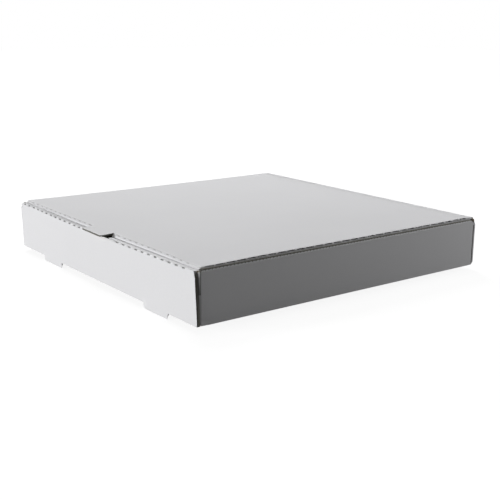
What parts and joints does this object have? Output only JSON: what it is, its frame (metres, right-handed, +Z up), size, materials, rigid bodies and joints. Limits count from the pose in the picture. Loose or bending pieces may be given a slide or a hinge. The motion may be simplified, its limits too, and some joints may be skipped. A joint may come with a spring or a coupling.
{
  "type": "pizza box",
  "caption": "Square folding pizza box of white corrugated board: a tray with a rolled-over front wall and a hinged lid with a thumb tongue and tucked flaps.",
  "frame": {"origin": "centre of the footprint with the thumb tongue, in the plane of the two front feet that the box stands on", "axes": "+Z up through the lid, -Y out of the front wall with the thumb tongue, +Y out of the back wall with the lid's crease"},
  "size_m": [0.315, 0.321, 0.051],
  "materials": {
    "board_tray": "white liner outside, kraft inside and on cut edges",
    "board_lid": "white liner outside, kraft inside and on cut edges"
  },
  "bodies": {
    "tray": {"tray": "board_tray"},
    "lid": {"lid": "board_lid"}
  },
  "joints": [
    {"name": "lid_hinge", "type": "hinge", "parent": "tray", "child": "lid", "pos_m": [0, 0.1605, 0.04925], "axis": [-1, 0, 0], "range_deg": [0, 180]}
  ]
}
